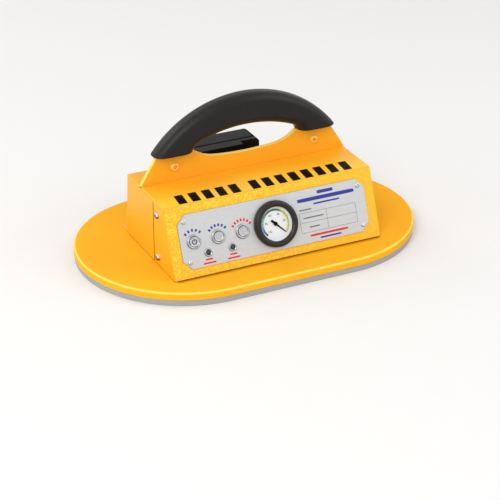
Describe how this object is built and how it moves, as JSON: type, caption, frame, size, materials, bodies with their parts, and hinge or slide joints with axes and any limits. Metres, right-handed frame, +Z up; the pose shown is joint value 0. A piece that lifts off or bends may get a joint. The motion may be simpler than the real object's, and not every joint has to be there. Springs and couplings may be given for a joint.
{
  "type": "vacuum lifter",
  "caption": "Battery vacuum lifter: oblong suction plate with rubber seal, sloped pump housing with gauge and push buttons, arched lifting handle and slide-on battery.",
  "frame": {"origin": "centre of the oblong seal, on the surface that the seal rests on", "axes": "+X to the right along the plate as seen from the control panel, +Y to the rear, +Z up"},
  "size_m": [0.444, 0.278, 0.1985],
  "materials": {
    "plate_paint": "satin yellow powder coat on a cast aluminium plate",
    "yellow_paint": "satin yellow powder coat with a fine hammered texture",
    "seal_rubber": "matte grey",
    "grip_plastic": "satin charcoal moulding",
    "zinc_steel": "bright zinc plated",
    "panel_metal": "satin anodised",
    "button_chrome": "polished",
    "button_silver": "fine turned",
    "lamp_lens": "dark clear lens, unlit",
    "gauge_black": "satin",
    "gauge_steel": "plain",
    "gauge_white": "printed dial",
    "pointer_black": "black lacquer",
    "gauge_glass": "clear",
    "brass": "turned",
    "bronze": "sintered",
    "hose_rubber": "matte",
    "pump_alloy": "machined",
    "motor_steel": "drawn can",
    "carbon": "carbon",
    "board_green": "circuit board",
    "battery_plastic": "fine moulded texture",
    "latch_plastic": "satin"
  },
  "bodies": {
    "lifter": {"base_plate": "plate_paint", "handle_bracket": "yellow_paint", "front_cover": "yellow_paint", "rear_cover": "yellow_paint", "tie_bolts": "yellow_paint", "seal_ring": "seal_rubber", "handle_grip": "grip_plastic", "foot_bolts": "zinc_steel", "tie_nuts": "zinc_steel", "cover_screws": "zinc_steel", "flange_screws": "zinc_steel", "panel_screws": "zinc_steel", "button_nuts": "zinc_steel", "lamp_nuts": "zinc_steel", "manifold_screws": "zinc_steel", "saddle_screws": "zinc_steel", "board_standoffs": "zinc_steel", "gauge_ring_nut": "zinc_steel", "dock_screws": "zinc_steel", "panel_plate": "panel_metal", "power_button_body": "button_chrome", "vacuum_button_body": "button_chrome", "release_button_body": "button_chrome", "low_vacuum_lamp_body": "button_chrome", "low_battery_lamp_body": "button_chrome", "gauge_ring": "button_chrome", "low_vacuum_lamp_lens": "lamp_lens", "low_battery_lamp_lens": "lamp_lens", "gauge_bezel": "gauge_black", "gauge_case": "gauge_steel", "gauge_dial": "gauge_white", "gauge_lens": "gauge_glass", "gauge_stem": "brass", "check_valve": "brass", "battery_contacts": "brass", "suction_filter": "bronze", "pump_silencer": "bronze", "gauge_hose": "hose_rubber", "pump_hose": "hose_rubber", "manifold": "pump_alloy", "pump_body": "pump_alloy", "pump_cover": "pump_alloy", "pump_saddle": "pump_alloy", "pump_motor": "motor_steel", "release_valve": "motor_steel", "control_board": "board_green", "battery_dock": "battery_plastic"},
    "power_button": {"power_button_cap": "button_silver"},
    "vacuum_button": {"vacuum_button_cap": "button_silver"},
    "release_button": {"release_button_cap": "button_silver"},
    "gauge_needle": {"gauge_pointer": "pointer_black"},
    "pump_rotor": {"pump_rotor": "motor_steel", "pump_vanes": "carbon"},
    "battery": {"battery_case": "battery_plastic"},
    "battery_latch": {"battery_latch": "latch_plastic"}
  },
  "joints": [
    {"name": "power_press", "type": "slide", "parent": "lifter", "child": "power_button", "axis": [0, 0.9261, -0.3772], "range_m": [0, 0.0015], "stiffness_N_per_m": 600},
    {"name": "vacuum_press", "type": "slide", "parent": "lifter", "child": "vacuum_button", "axis": [0, 0.9261, -0.3772], "range_m": [0, 0.0015], "stiffness_N_per_m": 600},
    {"name": "release_press", "type": "slide", "parent": "lifter", "child": "release_button", "axis": [0, 0.9261, -0.3772], "range_m": [0, 0.0015], "stiffness_N_per_m": 600},
    {"name": "gauge_sweep", "type": "hinge", "parent": "lifter", "child": "gauge_needle", "pos_m": [0, -0.08088, 0.05806], "axis": [0, -0.9261, 0.3772], "range_deg": [0, 270], "stiffness_Nm_per_rad": 0.0004},
    {"name": "pump_spin", "type": "hinge", "parent": "lifter", "child": "pump_rotor", "pos_m": [0.071, -0.04, 0.0505], "axis": [1, 0, 0], "continuous": true},
    {"name": "battery_slide", "type": "slide", "parent": "lifter", "child": "battery", "axis": [1, 0, 0], "range_m": [0, 0.13]},
    {"name": "latch_slide", "type": "slide", "parent": "battery", "child": "battery_latch", "axis": [0, -1, 0], "range_m": [0, 0.0035]}
  ]
}
